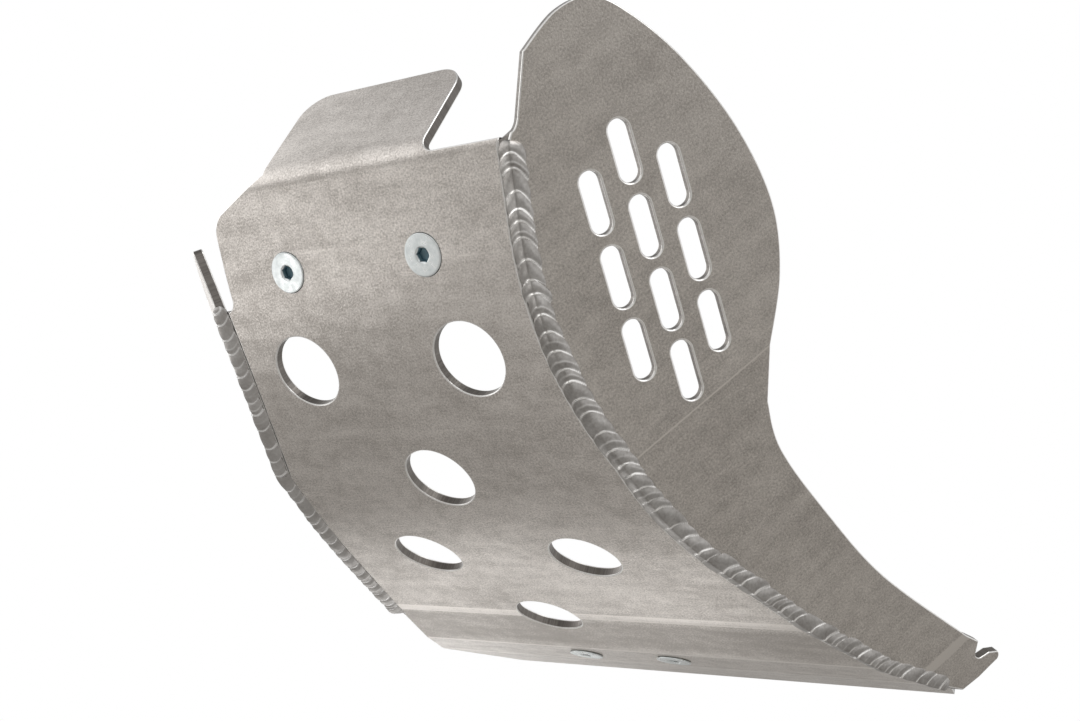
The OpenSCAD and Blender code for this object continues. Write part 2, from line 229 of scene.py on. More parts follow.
def plate_outline(depth):
    """The plate's outline from the tongue's free edge round its left side, the rear and the right."""
    low, high = TONGUE["offset"] - TONGUE["width"] / 2, TONGUE["offset"] + TONGUE["width"] / 2
    c, slit, top = TONGUE["corner"], RIGHT_SLIT, RIGHT_SHOULDER["top"]
    side = high + NOTCH["radius"]
    notch = rounded((side, NOTCH["up"]), NOTCH["radius"], 180, 270, 10)
    left = side_edge(float(below_tongue(LEFT_TOP_UP)), LEFT_WING, REAR_LEFT, depth)
    reach = wing_seam(below_tongue(np.array([slit["up"]])), RIGHT_WING, SHEET, depth)[0][0]
    across = (-slit["centre"][0] - reach) / slit["radius"]
    meets = -math.degrees(math.acos(min(1.0, max(0.0, across))))
    foot = rounded(slit["centre"], slit["radius"], meets, 0, 10)
    right = side_edge(float(below_tongue(foot[0, 1])), RIGHT_WING, REAR_RIGHT, depth, RIGHT_STEP)
    shoulder = rounded(RIGHT_SHOULDER["centre"], RIGHT_SHOULDER["radius"], 180, RIGHT_SHOULDER["end"], 8)
    corner = np.concatenate([foot[1:], between(foot[-1], shoulder[0], 20), shoulder,
                             between(shoulder[-1], (low, top), 18), [[low, top]]])
    return np.concatenate([
        filled([[low + c, 0], [high - c, 0]])[:-1],
        rounded((high - c, c), c, -90, 0, 14),
        filled([[high, c], [high, float(below_tongue(NOTCH["up"]))]])[1:-1],
        np.stack([notch[:, 0], below_tongue(notch[:, 1])], -1),
        between((side, left[0, 1]), left[0], 20),
        left,
        between(left[-1], right[-1] * (-1, 1), 180),
        right[::-1] * (-1, 1),
        np.stack([corner[:, 0], below_tongue(corner[:, 1])], -1),
        filled([[low, float(below_tongue(top))], [low, c]])[1:-1],
        rounded((low + c, c), c, 180, 270, 14)[:-1]])


def round_hole(across, along, radius, n=84, grow=None):
    """A round opening, clockwise; grow gives the radius at a depth where it isn't a plain bore."""
    def at(depth):
        r = radius if grow is None else grow(depth)
        return rounded((across, along), r, 360, 360 / n, n)
    return at


def inside(points, loops):
    """True where a point lies in the outline and in none of the openings: an odd number of edges
    lies to its right."""
    odd = np.zeros(len(points), bool)
    for loop in loops:
        a, b = loop, np.roll(loop, -1, axis=0)
        px, py = points[:, :1], points[:, 1:]
        cross = (a[:, 1] > py) != (b[:, 1] > py)
        with np.errstate(divide="ignore", invalid="ignore"):
            x = a[:, 0] + (py - a[:, 1]) * (b[:, 0] - a[:, 0]) / (b[:, 1] - a[:, 1])
        odd ^= (np.sum(cross & (px < x), axis=1) % 2).astype(bool)
    return odd


def outward(mesh):
    """Turns the faces of a closed mesh outwards."""
    work = bmesh.new()
    work.from_mesh(mesh)
    bmesh.ops.recalc_face_normals(work, faces=work.faces)
    work.to_mesh(mesh)
    work.free()


def at_corners(mesh, values):
    """Values given for each vertex, as one flat row for each corner of each face."""
    corner = np.empty(len(mesh.loops), int)
    mesh.loops.foreach_get("vertex_index", corner)
    return values[corner].ravel()


def shown(name, data):
    """An object in the scene for a mesh, a light or a camera."""
    piece = bpy.data.objects.new(name, data)
    bpy.context.scene.collection.objects.link(piece)
    return piece


def sheet_piece(name, loops, leads, place, across, along, flip=False):
    """A sheet with rounded rims. Every loop is carried from the outer face to the inner one
    through a quarter round, the wall and another quarter round: inset by lead(1 - sin t) at a
    depth of lead(1 - cos t). The faces between are Delaunay triangles on a grid of points, and
    each corner keeps the sheet's own exact normal."""
    clearance = 1.3
    t = np.radians([0, 30, 60, 90])
    points, normals, flats, faces, starts = [], [], [], [], []
    total = 0
    for loop, lead in zip(loops, leads):
        rings = [(lead * (1 - math.sin(a)), lead * (1 - math.cos(a)), math.cos(a), math.sin(a))
                 for a in t]
        rings += [(i, SHEET - d, -c, s) for i, d, c, s in reversed(rings)]
        starts.append((total, len(loop(0.0))))
        for inset, depth, facing, edge in rings:
            flat = loop(depth)
            step = np.roll(flat, -1, axis=0) - np.roll(flat, 1, axis=0)
            out = np.stack([step[:, 1], -step[:, 0]], -1) / np.linalg.norm(step, axis=1)[:, None]
            flat = flat - inset * out
            at, normal, side, down = place(flat[:, 0], flat[:, 1], depth)
            points.append(at)
            normals.append(facing * normal + edge * (out[:, :1] * side + out[:, 1:] * down))
            flats.append(flat)
            total += len(flat)
        n = len(flat)
        i = np.arange(n)
        for r in range(len(rings) - 1):
            a, b = starts[-1][0] + r * n, starts[-1][0] + (r + 1) * n
            faces.append(np.stack([a + i, a + (i + 1) % n, b + (i + 1) % n, b + i], -1))
    skins = []
    for ring, depth, facing in ((0, 0.0, 1), (7, SHEET, -1)):
        rims = [flats[k * 8 + ring] for k in range(len(loops))]
        rim = np.concatenate(rims)
        grid = np.stack(np.meshgrid(across, along), -1).reshape(-1, 2)
        grid = grid[inside(grid, rims)]
        near = [np.min(np.linalg.norm(g[:, None] - rim, axis=2), axis=1) for g in np.array_split(grid, 40)]
        grid = grid[np.concatenate(near) > clearance]
        every = np.concatenate([rim, grid])
        edges, k = [], 0
        for loop in rims:
            edges += [(k + i, k + (i + 1) % len(loop)) for i in range(len(loop))]
            k += len(loop)
        made = delaunay_2d_cdt([tuple(p) for p in every.tolist()], edges, [], 0, 1e-6)
        if len(made[0]) != len(every):
            raise ValueError(f"{name}: its flat drawing crosses itself at {made[0][len(every):]}")
        tri = np.array(made[2])
        tri = tri[inside(every[tri].mean(axis=1), rims)]
        index = np.concatenate([np.arange(s + ring * n, s + (ring + 1) * n) for s, n in starts]
                               + [np.arange(total, total + len(grid))])
        skins += index[tri[:, ::facing]].tolist()
        at, normal, _, _ = place(grid[:, 0], grid[:, 1], depth)
        points.append(at)
        normals.append(facing * normal)
        flats.append(grid)
        total += len(grid)
    points, normals, flats = (np.concatenate(v) for v in (points, normals, flats))
    if flip:
        points, normals = points * (-1, 1, 1), normals * (-1, 1, 1)
    quads = np.concatenate(faces)
    finish = [np.repeat((1, 1, 1, 2, 1, 1, 1), n) for _, n in starts] + [np.zeros(len(skins), int)]
    mesh = bpy.data.meshes.new(name)
    mesh.from_pydata((points * 0.001).tolist(), [], quads.tolist() + skins)
    outward(mesh)
    mesh.uv_layers.new(name="flat_drawing").data.foreach_set("uv", at_corners(mesh, flats * 0.001))
    mesh.polygons.foreach_set("use_smooth", np.ones(len(mesh.polygons), bool))
    mesh.polygons.foreach_set("material_index", np.concatenate(finish).astype(np.int32))
    length = np.linalg.norm(normals, axis=1)[:, None]
    mesh.normals_split_custom_set_from_vertices((normals / length).tolist())
    return shown(name, mesh)


def linear(code):
    """An sRGB hex colour as linear numbers: c/12.92 up to 0.04045, else ((c + 0.055)/1.055)^2.4."""
    c = np.array([int(code[i:i + 2], 16) for i in (1, 3, 5)]) / 255
    return (*np.where(c <= 0.04045, c / 12.92, ((c + 0.055) / 1.055) ** 2.4).tolist(), 1)


def node(tree, kind, inputs={}, **settings):
    """Adds a node with its settings, then gives each named or numbered input a value or a link."""
    made = tree.nodes.new("ShaderNode" + kind)
    for key, value in settings.items():
        setattr(made, key, value)
    for key, value in inputs.items():
        if isinstance(value, bpy.types.NodeSocket):
            tree.links.new(value, made.inputs[key])
        else:
            made.inputs[key].default_value = value
    return made


def new_material(name):
    """An empty material with its output, ready for a shader."""
    made = bpy.data.materials.new(name)
    made.use_nodes = True
    made.node_tree.nodes.clear()
    return made, made.node_tree, made.node_tree.nodes.new("ShaderNodeOutputMaterial")


def mill_finish(name, light, dark, rough, painted_bands):
    """Mill-finish 5000-series aluminium sheet, as it comes off the rolls: an even, slightly pebbled grain of
    0.5 to 1 mm with cloudy patches. Bands of painted light lie across it, each given as (distance down the
    sheet, half width, strength). With a strength above 0 a band is a painted highlight, lighter and glossier;
    below 0 it is painted shade, darker and duller."""
    made, tree, output = new_material(name)
    flat = node(tree, "UVMap", uv_map="flat_drawing").outputs["UV"]
    place = node(tree, "TexCoord").outputs["Object"]
    pebble = node(tree, "TexNoise", {"Vector": flat, "Scale": 1150.0, "Detail": 2.0, "Roughness": 0.55})
    speck = node(tree, "TexNoise", {"Vector": flat, "Scale": 2700.0, "Detail": 1.0})
    patch = node(tree, "TexNoise", {"Vector": flat, "Scale": 150.0, "Detail": 4.0, "Roughness": 0.6})
    cloud = node(tree, "TexNoise", {"Vector": place, "Scale": 22.0, "Detail": 3.0, "Roughness": 0.5})
    wipe_at = node(tree, "Mapping", {"Vector": flat, "Scale": (0.22, 1.0, 1.0), "Rotation": (0, 0, 0.25)})
    wipe = node(tree, "TexNoise", {"Vector": wipe_at.outputs[0], "Scale": 120.0, "Detail": 3.0,
                                   "Distortion": 0.8})
    mixed = node(tree, "Math", {0: pebble.outputs[0], 1: 0.8}, operation="MULTIPLY").outputs[0]
    for part, weight in ((speck, 0.7), (patch, 0.4), (cloud, 0.3), (wipe, 0.35)):
        mixed = node(tree, "Math", {0: part.outputs[0], 1: weight, 2: mixed},
                     operation="MULTIPLY_ADD").outputs[0]
    down = node(tree, "SeparateXYZ", {0: flat}).outputs[1]
    # Each band paints light into the tone and the gloss: a highlight, or shade where its strength is below 0.
    for where, half, strength in painted_bands:
        away = node(tree, "Math", {0: down, 1: where * 0.001}, operation="SUBTRACT")
        away = node(tree, "Math", {0: away.outputs[0]}, operation="ABSOLUTE")
        painted_band = node(tree, "MapRange", {"Value": away.outputs[0], "From Min": half * 0.0013,
                                         "From Max": half * 0.0006, "To Min": 0.0, "To Max": strength},
                      interpolation_type="SMOOTHSTEP")
        mixed = node(tree, "Math", {0: mixed, 1: painted_band.outputs[0]}).outputs[0]
    span = {"Value": mixed, "From Min": 1.05, "From Max": 1.5}
    level = node(tree, "MapRange", span)
    tone = node(tree, "Mix", {0: level.outputs[0], 6: linear(dark), 7: linear(light)}, data_type="RGBA")
    gloss = node(tree, "MapRange", {**span, "To Min": rough + 0.06, "To Max": rough - 0.06})
    height = node(tree, "Math", {0: speck.outputs[0], 1: 0.35, 2: pebble.outputs[0]},
                  operation="MULTIPLY_ADD")
    bump = node(tree, "Bump", {"Height": height.outputs[0], "Strength": 0.7, "Distance": 0.00011})
    shader = node(tree, "BsdfPrincipled", {"Base Color": tone.outputs[2], "Roughness": gloss.outputs[0],
                                           "Metallic": 1.0, "Normal": bump.outputs[0]})
    tree.links.new(shader.outputs[0], output.inputs[0])
    return made


def cut_edge(name, light, dark, rough):
    """A laser-cut edge: the beam leaves fine striations through the thickness, 0.7 mm apart, which show on
    the walls; the file leaves the leads smoother. A light tone on the leads is a painted highlight, and a
    dark tone on the walls is painted shade."""
    made, tree, output = new_material(name)
    flat = node(tree, "UVMap", uv_map="flat_drawing").outputs["UV"]
    line = node(tree, "TexNoise", {"Vector": flat, "Scale": 1400.0, "Detail": 2.0, "Roughness": 0.6})
    patch = node(tree, "TexNoise", {"Vector": flat, "Scale": 160.0, "Detail": 2.0})
    mixed = node(tree, "Math", {0: patch.outputs[0], 1: 0.6, 2: line.outputs[0]}, operation="MULTIPLY_ADD")
    level = node(tree, "MapRange", {"Value": mixed.outputs[0], "From Min": 0.5, "From Max": 1.1})
    tone = node(tree, "Mix", {0: level.outputs[0], 6: linear(dark), 7: linear(light)}, data_type="RGBA")
    bump = node(tree, "Bump", {"Height": line.outputs[0], "Strength": 0.4, "Distance": 0.00008})
    shader = node(tree, "BsdfPrincipled", {"Base Color": tone.outputs[2], "Roughness": rough,
                                           "Metallic": 1.0, "Normal": bump.outputs[0]})
    tree.links.new(shader.outputs[0], output.inputs[0])
    return made


def seat(proud):
    """Radius of a countersunk hole: straight for the head's rim, a 45 degree cone, then a bore.
    Where the head stands proud, the straight rim is shallower by as much."""
    return lambda depth: max(BORE_RADIUS, SEAT_RADIUS - max(0.0, depth - HEAD_RIM + proud))


plate_loops = [plate_outline] + [round_hole(x, FRONT_ROW + s, HOLE_RADIUS) for s, x in HOLES] + [
    round_hole(side * pair["spacing"] / 2, FRONT_ROW + pair["row"], SEAT_RADIUS, 60, seat(pair["proud"]))
    for pair in (FRONT_SCREWS, LOWER_SCREWS) for side in (-1, 1)]
plate_leads = [0.5] * (1 + len(HOLES)) + [0.12] * 4
fold_rows = [np.arange(0, FRONT_START - 11, GRID), np.arange(FRONT_START - 10.2, FRONT_START + 0.5, 0.75),
             np.arange(FRONT_START + 2.5, PLATE_END, GRID)]
at = FRONT_START + FRONT_FLAT + PLATE_RUNS[3][0] + LOWER_FLATS[0]
# Painted light along the lower folds. A bright band and two thin bright lines on the first fold, and a bright
# line on each other fold, are painted highlights. A band about 35 mm wide, centred 22 mm below the first
# fold, is painted darker: a painted dark reflection.
fold_painted_bands = []
for number, flat in enumerate(LOWER_FLATS[1:]):
    length = PLATE_RUNS[5 + 2 * number][0]
    fold_rows.append(np.linspace(at - 0.6, at + length + 0.6, 6))
    middle = at + length / 2
    if number == 0:
        fold_painted_bands += [(middle, 2.6, 0.2), (middle - 2.5, 0.5, 0.5), (middle + 2.5, 0.5, 0.4),
                       (middle + 22, 17, -0.16)]
    else:
        fold_painted_bands.append((middle, 0.8, 0.4))
    at += length + flat
rows = np.unique(np.round(np.concatenate(fold_rows), 3))
rows = rows[np.concatenate([[True], np.diff(rows) > 0.35])]
plate = sheet_piece("centre_plate_sheet", plate_loops, plate_leads, plate_place,
                    np.arange(-150, 160, GRID), rows)
# The plate's sheet carries painted highlights and painted shade along its folds. Its rounded leads are
# painted bright as a highlight, and its cut walls dark as shade.
for finish in (mill_finish("mill_finish_aluminium_plate_with_painted_light", "#F0EAE4", "#B4AEA8", 0.36, fold_painted_bands),
               cut_edge("filed_aluminium_lead_painted_highlight", "#FBFAF8", "#E6E3DF", 0.3),
               cut_edge("laser_cut_aluminium_wall_painted_shade", "#8F8A85", "#625E5A", 0.42)):
    plate.data.materials.append(finish)
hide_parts("centre_plate")
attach(plate, "root")


# ---------------------------------------------------------------------------
# Left wing. A second 4 mm blank with ten staggered cooling slots, bent a few
# degrees along a scribed line and at its little tail, which stands on the
# plate's outer corner and is welded there.

LEFT_BEND_RADIUS = 9.0


def wing_runs(folds, top, tail):
    """The wing's section from its top edge down: flats joined by small bends at the fold lines."""
    runs, at = [], -top
    for line, fold in folds:
        tangent = LEFT_BEND_RADIUS * math.tan(math.radians(fold / 2))
        runs += [(line - tangent - at, 0), curve(LEFT_BEND_RADIUS, fold)]
        at = line + tangent
    return tuple(runs) + ((tail - at, 0),)


def wing_place(wing, top, tail):
    """Wing surface: u runs along the bend line, the section is folded downwards from its top, and
    one turn and one shift lay it against the plate."""
    turn, foot = wing_turn(wing["turn"]), np.array(wing["foot"], float)
    runs = wing_runs(wing["folds"], top, tail)

    def place(across, along, depth):
        y, z, lean = folded(along, runs, -90)
        zero = np.zeros_like(lean)
        flat = np.stack([across + zero, top + y + depth * np.cos(lean), z + depth * np.sin(lean)], -1)
        down = np.stack([zero, np.sin(lean), -np.cos(lean)], -1)
        normal = np.stack([zero, -np.cos(lean), -np.sin(lean)], -1)
        side = np.stack([1 + zero, zero, zero], -1)
        return flat @ turn.T + foot, normal @ turn.T, side @ turn.T, down @ turn.T
    return place


def smooth(points, n=10):
    """A curve through the points: for each span, half of 2b + (c - a)t + (2a - 5b + 4c - d)t^2
    + (3b - a - 3c + d)t^3, from four neighbours a, b, c, d."""
    p = np.asarray(points, float)
    a, b, c, d = p[np.r_[0, 0:len(p) - 2]], p[:-1], p[1:], p[np.r_[2:len(p), len(p) - 1]]
    t = (np.arange(n) / n)[None, :, None]
    a, b, c, d = (q[:, None] for q in (a, b, c, d))
    out = 0.5 * (2 * b + (c - a) * t + (2 * a - 5 * b + 4 * c - d) * t ** 2
                 + (3 * b - a - 3 * c + d) * t ** 3)
    return np.concatenate([out.reshape(-1, 2), p[-1:]])


def crossing(path, a, b):
    """First place where a path crosses the line through a and b, and the index before it."""
    n = np.array([b[1] - a[1], a[0] - b[0]])
    side = (path - a) @ n
    k = int(np.argmax(side[:-1] * side[1:] < 0))
    f = side[k] / (side[k] - side[k + 1])
    return k + f, path[k] + f * (path[k + 1] - path[k])


def wing_outline(wing, free, top, first, last):
    """A wing's outline: its free edge, and back along the seam, which shifts with depth because
    the sheet is cut to the slope of the plate's face."""
    free = np.asarray(free, float)
    along = np.arange(first, last, 0.5)

    def at(depth):
        _, u, v = wing_seam(along, wing, depth)
        seam = np.stack([u, v], -1)
        k0, start = crossing(seam, free[0], free[1])
        k1, end = crossing(seam, free[-2], free[-1])
        back = np.linspace(k1, k0, 230)[1:-1]
        seam = np.stack([np.interp(back, np.arange(len(seam)), seam[:, i]) for i in range(2)], -1)
        loop = np.concatenate([[start], between(start, free[1], 1), filled(free[1:-1]),
                               between(free[-2], end, 2), [end], seam])
        return np.stack([loop[:, 0], top - loop[:, 1]], -1)
    return at


LEFT_TOP, LEFT_TAIL = 146.0, 204.0
TAB = 173.0
left_free = np.concatenate([
    [[10, 118]], rounded((29.5, 127), 8, -70, -42, 6),
    smooth([[50, 138], [67, 142], [80, 138.5], [88, 126], [95, 103], [98, 72], [94, 42], [82, 19], [64, 0]]),
    smooth([[52, -18], [46.6, -38], [48.5, -74], [54.5, -118], [71.5, -TAB]]),
    [[75, -TAB - 8]], rounded((74.5, -TAB - 14.5), 3.5, 130, 240, 10), [[77, -TAB - 18.5]],
    rounded((78, -TAB - 23), 3, 20, -70, 8), [[75, -TAB - 26], [68, -TAB - 26.5], [58, -TAB - 25.5]]])


def slot_opening(u, v, turn, length, width, top, n=16):
    """A slot with round ends, clockwise: two half circles joined by straight sides."""
    half = (length - width) / 2
    a = np.radians(turn)
    ends = np.concatenate([rounded((half, 0), width / 2, 90, -90, n),
                           rounded((-half, 0), width / 2, 270, 90, n)])
    x = u + ends[:, 0] * math.cos(a) - ends[:, 1] * math.sin(a)
    y = v + ends[:, 0] * math.sin(a) + ends[:, 1] * math.cos(a)
    loop = filled(np.stack([np.append(x, x[0]), top - np.append(y, y[0])], -1))[:-1][::-1]
    return lambda depth: loop


# Ten slots in three slanting columns: four in the middle one, three beside it.
SLOT = dict(length=22.5, width=8, angle=71)
SLOT_FIELD = dict(centre=(46.4, 51.9), pitch=27, columns=15)
slots = []
for column in (-1, 0, 1):
    for i in np.arange(4 if column == 0 else 3) - (1.5 if column == 0 else 1):
        a = math.radians(SLOT["angle"])
        down, aside = i * SLOT_FIELD["pitch"], column * SLOT_FIELD["columns"]
        u = SLOT_FIELD["centre"][0] + down * math.cos(a) - aside * math.sin(a)
        v = SLOT_FIELD["centre"][1] + down * math.sin(a) + aside * math.cos(a)
        slots.append(slot_opening(u, v, SLOT["angle"], SLOT["length"], SLOT["width"], LEFT_TOP))
bends = [np.linspace(LEFT_TOP + line - 1.1, LEFT_TOP + line + 1.1, 5) for line in (0, TAB)]
rows = np.concatenate([np.arange(2, LEFT_TOP - 2, GRID), *bends,
                       np.arange(LEFT_TOP + GRID, LEFT_TOP + TAB - 2, GRID),
                       np.arange(LEFT_TOP + TAB + 3, LEFT_TOP + LEFT_TAIL, GRID)])
outline = wing_outline(LEFT_WING, left_free, LEFT_TOP, FRONT_ROW - 42, PLATE_END)
left_wing = sheet_piece("left_wing_sheet", [outline] + slots, [0.5] + [0.7] * 10,
                        wing_place(LEFT_WING, LEFT_TOP, LEFT_TAIL), np.arange(-10, 110, GRID), rows)
# The wing's sheet is a darker copy of the plate's, as painted shade. The lines along its scribed bend and
# along its tail's bend are painted highlights.
for finish in (mill_finish("mill_finish_aluminium_wing_with_painted_light", "#D2CCC5", "#A29C96", 0.38,
                           ((LEFT_TOP, 0.3, 0.9), (LEFT_TOP + TAB, 2.5, 0.4))),
               bpy.data.materials["filed_aluminium_lead_painted_highlight"], bpy.data.materials["laser_cut_aluminium_wall_painted_shade"]):
    left_wing.data.materials.append(finish)
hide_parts("left_wing")
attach(left_wing, "root")


# ---------------------------------------------------------------------------
# Right wing. The lower and shorter 4 mm blank on the other side, with no slots,
# bent along its own line and welded to the plate in the same way.

RIGHT_TOP, RIGHT_TAIL = 91.0, 124.0
right_free = np.concatenate([
    [[-20, 46.5]], rounded((36, 84.5), 3, 126, 34, 8),
    smooth([[57, 56], [64, 39], [65, 24], [60, 9], [54, 0]]),
    smooth([[40.8, -13], [28.1, -28], [19, -46], [11.7, -69], [3, -94], [-9, -111], [-24, -118],
            [-74, -114]])[:-10], [[-74, -114]]])
rows = np.concatenate([np.arange(2, RIGHT_TOP - 2, GRID), np.linspace(RIGHT_TOP - 1.3, RIGHT_TOP + 1.3, 5),
                       np.arange(RIGHT_TOP + GRID, RIGHT_TOP + RIGHT_TAIL, GRID)])
outline = wing_outline(RIGHT_WING, right_free, RIGHT_TOP, FRONT_ROW - 6, FRONT_ROW + 260)
right_wing = sheet_piece("right_wing_sheet", [outline], [0.45], wing_place(RIGHT_WING, RIGHT_TOP, RIGHT_TAIL),
                         np.arange(-72, 90, GRID), rows, flip=True)
# The same darker copy of the plate's sheet, as painted shade, with a painted highlight along the bend line.
for finish in (mill_finish("mill_finish_aluminium_right_wing_with_painted_light", "#D2CCC5", "#A29C96", 0.38,
                           ((RIGHT_TOP, 0.3, 0.9),)),
               bpy.data.materials["filed_aluminium_lead_painted_highlight"], bpy.data.materials["laser_cut_aluminium_wall_painted_shade"]):
    right_wing.data.materials.append(finish)
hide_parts("right_wing")
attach(right_wing, "root")


# ---------------------------------------------------------------------------
# Weld beads. Aluminium filler laid by hand along both outer corners: each dab of the rod freezes as a scale
# about 5 mm long, U-shaped across the bead, painted bright on its raised rim as a highlight and duller in its
# valley as shade. No two are quite alike.


BEAD = dict(dab=6.6, height=1.8, leg=4.8, rim=0.36, hang_plate=3.2, hang_wing=5.6, toe=0.22)


def seam_frame(along, wing):
    """Along a seam: its place, the way out between both faces, and the way along each face from
    the corner. Where the wing is bent, its normal is evened out over 31 steps."""
    x, _, v = wing_seam(along, wing)
    y, z, lean = plate_section(along)
    seam = np.stack([x, y, z], -1)
    steps = np.gradient(seam, axis=0)
    tangent = steps / np.linalg.norm(steps, axis=1)[:, None]
    turn, bend = wing_turn(wing["turn"]), math.radians(wing["folds"][0][1])
    above, below = turn @ [0, 0, 1], turn @ [0, -math.sin(bend), math.cos(bend)]
    n = np.where(v[:, None] < 0, below, above)
    soft = np.ones(31) / 31
    n = np.stack([np.convolve(np.pad(n[:, i], 15, mode="edge"), soft, "valid") for i in range(3)], -1)
    face = np.stack([0 * lean, -np.cos(lean), -np.sin(lean)], -1)
    out = (face + n) / np.linalg.norm(face + n, axis=1)[:, None]
    on_plate = np.cross(tangent, face)
    on_plate *= np.where(on_plate[:, :1] > 0, -1, 1) / np.linalg.norm(on_plate, axis=1)[:, None]
    on_wing = np.cross(tangent, n)
    apart = np.where(np.sum(on_wing * on_plate, axis=1) > 0, -1, 1)[:, None]
    on_wing *= apart / np.linalg.norm(on_wing, axis=1)[:, None]
    return seam, out, on_plate, on_wing


def weld_bead(name, wing, first, last, seed, way, tip, reach, flip=False):
    """A bead along a seam. Across it runs an arch from the plate's face over the corner to the
    wing's face, of height h sin(180 f)^0.9. Along it each dab of the rod has its own length,
    height and width: it swells by a dome, and ends in a raised rim, a bell curve 0.36 mm wide.
    The rim leads at the share tip of the way across, and hangs back at the bead's sides by
    3.2 mm (plate) and 5.6 mm (wing) times the square of the share from there, against the way it
    was laid: 1 is upwards. Reach widens the side on the plate. Both ends are rounded."""
    chance = np.random.RandomState(seed)
    dabs = first - 10 + np.cumsum(BEAD["dab"] * (1 + 0.24 * chance.standard_normal(90)).clip(0.55, 1.6))
    high, wide, drift, fine = (chance.standard_normal(len(dabs)) for _ in range(4))
    along = np.linspace(first, last, int((last - first) / 0.26))
    s, f = np.meshgrid(along, np.linspace(0, 1, 25), indexing="ij")
    seam, out, on_plate, on_wing = seam_frame(along, wing)
    ahead = s - way * np.where(f < tip, BEAD["hang_plate"] * (1 - f / tip) ** 2,
                               BEAD["hang_wing"] * ((f - tip) / (1 - tip)) ** 2)
    k = np.clip(np.searchsorted(dabs, ahead) - 1, 0, len(dabs) - 2)
    length = dabs[k + 1] - dabs[k]
    part = np.clip((ahead - dabs[k]) / length, 0, 1)
    near = np.minimum(ahead - dabs[k], dabs[k + 1] - ahead)
    rim = np.exp(-(near / BEAD["rim"]) ** 2) * np.clip(1 + 0.25 * high[k], 0.5, 1.4)
    small = np.exp(-((part - 0.45 - 0.12 * fine[k]) * length / 0.35) ** 2) * np.clip(fine[k], 0, 1)
    scale = rim + 0.45 * small
    arch = np.sin(np.pi * f) ** 0.9
    end = np.clip(np.minimum(s - first, last - s) / 4.5, 0, 1)
    end = np.sqrt(end * (2 - end))
    dome = np.sin(np.pi * part)
    height = (BEAD["height"] + 0.14 * high[k] + 0.5 * dome ** 0.8 + 0.3 * scale) * arch * end - BEAD["toe"]
    leg = (BEAD["leg"] + 0.3 * wide[k] + 0.6 * dome + 0.15 * rim) * (0.35 + 0.65 * end)
    side = 2 * f - 1 + 0.03 * drift[k] * arch
    spread = (np.where(side < 0, -side * reach, side) * leg)[..., None]
    toward = np.where(side[..., None] < 0, on_plate[:, None], on_wing[:, None])
    points = seam[:, None] + toward * spread + out[:, None] * height[..., None]
    core = (seam - 1.2 * out)[:, None]
    rings = np.concatenate([points, core], axis=1)
    count, width = rings.shape[:2]
    i, j = np.meshgrid(np.arange(count - 1), np.arange(width), indexing="ij")
    a, b = i * width + j, i * width + (j + 1) % width
    faces = np.stack([a, b, b + width, a + width], -1).reshape(-1, 4).tolist()
    faces += [list(range(width)), list(range((count - 1) * width, count * width))]
    flat = rings.reshape(-1, 3) * ((-1, 1, 1) if flip else (1, 1, 1))
    mesh = bpy.data.meshes.new(name)
    mesh.from_pydata((flat * 0.001).tolist(), [], faces)
    outward(mesh)
    # Painted light for the weld metal: highest on the dabs' rims and over the bead's middle as a highlight,
    # and none at the toes and on the core as shade.
    painted_crest_light = mesh.attributes.new("painted_crest_light", "FLOAT", "POINT")
    shine = np.concatenate([scale * (0.5 + 0.5 * arch) * end, np.zeros((count, 1))], axis=1)
    painted_crest_light.data.foreach_set("value", shine.ravel())
    mesh.polygons.foreach_set("use_smooth", np.ones(len(mesh.polygons), bool))
    return shown(name, mesh)


def weld_metal(name, dull, bright):
    """Aluminium weld metal as laid: smooth on the dabs' rims and rougher between them. Its tone carries
    painted light: brighter on the rims and over the bead's middle as a painted highlight, and duller between
    the rims and along the toes as painted shade."""
    made, tree, output = new_material(name)
    place = node(tree, "TexCoord").outputs["Object"]
    painted_crest_light = node(tree, "Attribute", attribute_name="painted_crest_light").outputs["Fac"]
    speck = node(tree, "TexNoise", {"Vector": place, "Scale": 900.0, "Detail": 3.0, "Roughness": 0.6})
    cloud = node(tree, "TexNoise", {"Vector": place, "Scale": 120.0, "Detail": 3.0})
    level = node(tree, "Math", {0: cloud.outputs[0], 1: 0.5, 2: painted_crest_light}, operation="MULTIPLY_ADD")
    level = node(tree, "Math", {0: speck.outputs[0], 1: 0.35, 2: level.outputs[0]}, operation="MULTIPLY_ADD")
    even = node(tree, "MapRange", {"Value": level.outputs[0], "From Min": 0.3, "From Max": 1.15})
    tone = node(tree, "Mix", {0: even.outputs[0], 6: linear(dull), 7: linear(bright)}, data_type="RGBA")
    gloss = node(tree, "MapRange", {"Value": even.outputs[0], "To Min": 0.4, "To Max": 0.24})
    bump = node(tree, "Bump", {"Height": speck.outputs[0], "Strength": 0.4, "Distance": 0.00008})
    shader = node(tree, "BsdfPrincipled", {"Base Color": tone.outputs[2], "Roughness": gloss.outputs[0],
                                           "Metallic": 1.0, "Normal": bump.outputs[0]})
    tree.links.new(shader.outputs[0], output.inputs[0])
    return made


# The right bead's tones are paler than the left's: a lit copy of the same weld metal, as painted light.
for name, wing, rows, seed, way, tip, reach, flip, dull, bright in (
        ("left_weld_bead", LEFT_WING, (-34, 282), 4, 1, 0.5, 1.0, False, "#918D89", "#F9F7F4"),
        ("right_weld_bead", RIGHT_WING, (10, 211), 9, -1, 0.34, 1.12, True, "#ACA8A4", "#FFFEFD")):
    first, last = FRONT_ROW + rows[0], FRONT_ROW + rows[1]
    bead = weld_bead(name + "_laid", wing, first, last, seed, way, tip, reach, flip)
    bead.data.materials.append(weld_metal("aluminium_metal_of_" + name, dull, bright))
    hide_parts(name)
    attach(bead, "root")


